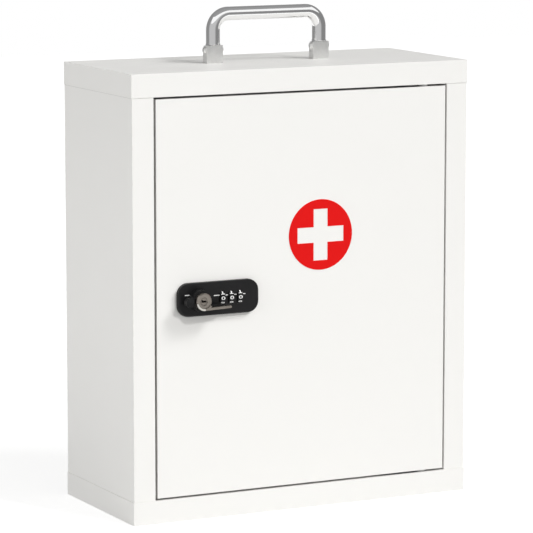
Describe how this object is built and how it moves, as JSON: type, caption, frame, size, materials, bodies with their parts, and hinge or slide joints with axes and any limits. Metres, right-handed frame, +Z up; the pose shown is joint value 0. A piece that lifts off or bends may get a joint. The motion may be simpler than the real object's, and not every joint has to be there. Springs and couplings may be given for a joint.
{
  "type": "lockable medicine cabinet",
  "caption": "Small white board cabinet with an inset hinged door, a combination cam lock with thumb lever, a red disc with a white cross, inner shelves and a fold-down carry handle.",
  "frame": {"origin": "centre of the cabinet's bottom face, half way between its front and back edges", "axes": "+Z up, the door faces -Y, +X towards the hinge side, seen from the front on the right"},
  "size_m": [0.3, 0.149, 0.4017],
  "materials": {
    "white_board": "satin white melamine foil on board",
    "beech": "plain beech",
    "zinc_plated_steel": "bright zinc plate",
    "bracket_steel": "satin chrome plate",
    "nickel_plated_zinc": "satin nickel plate",
    "chrome_bar": "bright chrome plate",
    "spring_steel": "spring steel",
    "black_plastic": "satin black",
    "dial_plastic": "satin black with white numbers",
    "white_plastic": "satin white",
    "clear_rubber": "clear soft pad",
    "red_vinyl": "satin red film"
  },
  "bodies": {
    "carcass": {"top_board": "white_board", "bottom_board": "white_board", "left_side": "white_board", "right_side": "white_board", "back_panel": "white_board", "hanging_rail": "white_board", "shelf_upper": "white_board", "shelf_lower": "white_board", "shelf_pins": "zinc_plated_steel", "corner_dowels": "beech", "rail_dowels": "beech", "cam_bolts": "zinc_plated_steel", "cam_discs": "nickel_plated_zinc", "back_screws": "zinc_plated_steel", "strike_plate": "zinc_plated_steel", "strike_screws": "zinc_plated_steel", "door_stops": "white_plastic", "stop_screws": "zinc_plated_steel", "hinge_upper_frame_leaf": "zinc_plated_steel", "hinge_lower_frame_leaf": "zinc_plated_steel", "hinge_pins": "zinc_plated_steel", "hinge_washers": "white_plastic", "frame_leaf_screws": "zinc_plated_steel", "handle_bracket_left": "bracket_steel", "handle_bracket_right": "bracket_steel", "handle_pins": "bracket_steel", "handle_screws": "zinc_plated_steel"},
    "door": {"door_panel": "white_board", "cross_emblem": "red_vinyl", "hinge_upper_door_leaf": "zinc_plated_steel", "hinge_lower_door_leaf": "zinc_plated_steel", "door_leaf_screws": "zinc_plated_steel", "door_bumpers": "clear_rubber", "lock_housing": "black_plastic", "lock_back_plate": "zinc_plated_steel", "lock_plate_screws": "zinc_plated_steel", "dial_shaft": "zinc_plated_steel", "detent_spring": "spring_steel"},
    "knob": {"knob_grip": "black_plastic", "thumb_lever": "nickel_plated_zinc", "lock_spindle": "zinc_plated_steel", "lock_cam": "zinc_plated_steel", "cam_screw": "zinc_plated_steel"},
    "key_plug": {"key_plug": "nickel_plated_zinc"},
    "dial_left": {"dial_left": "dial_plastic"},
    "dial_middle": {"dial_middle": "dial_plastic"},
    "dial_right": {"dial_right": "dial_plastic"},
    "fence": {"fence_bar": "zinc_plated_steel"},
    "handle": {"handle_bar": "chrome_bar"}
  },
  "joints": [
    {"name": "door_swing", "type": "hinge", "parent": "carcass", "child": "door", "pos_m": [0.1123, -0.059, 0.1785], "axis": [0, 0, 1], "range_deg": [0, 110]},
    {"name": "handle_fold", "type": "hinge", "parent": "carcass", "child": "handle", "pos_m": [0, 0, 0.3674], "axis": [-1, 0, 0], "range_deg": [0, 90]},
    {"name": "knob_turn", "type": "hinge", "parent": "door", "child": "knob", "pos_m": [-0.0955, -0.066, 0.1777], "axis": [0, 1, 0], "range_deg": [0, 90]},
    {"name": "key_turn", "type": "hinge", "parent": "knob", "child": "key_plug", "pos_m": [-0.0955, -0.066, 0.1777], "axis": [0, 1, 0], "range_deg": [0, 90]},
    {"name": "fence_slide", "type": "slide", "parent": "door", "child": "fence", "axis": [-1, 0, 0], "range_m": [0, 0.00201]},
    {"name": "dial_left_spin", "type": "hinge", "parent": "door", "child": "dial_left", "pos_m": [-0.0744, -0.0655, 0.1777], "axis": [1, 0, 0], "continuous": true},
    {"name": "dial_middle_spin", "type": "hinge", "parent": "door", "child": "dial_middle", "pos_m": [-0.06675, -0.0655, 0.1777], "axis": [1, 0, 0], "continuous": true},
    {"name": "dial_right_spin", "type": "hinge", "parent": "door", "child": "dial_right", "pos_m": [-0.0591, -0.0655, 0.1777], "axis": [1, 0, 0], "continuous": true}
  ],
  "couplings": [
    {"joint": "fence_slide", "follows": "knob_turn", "m_per_rad": 0.0012732}
  ]
}
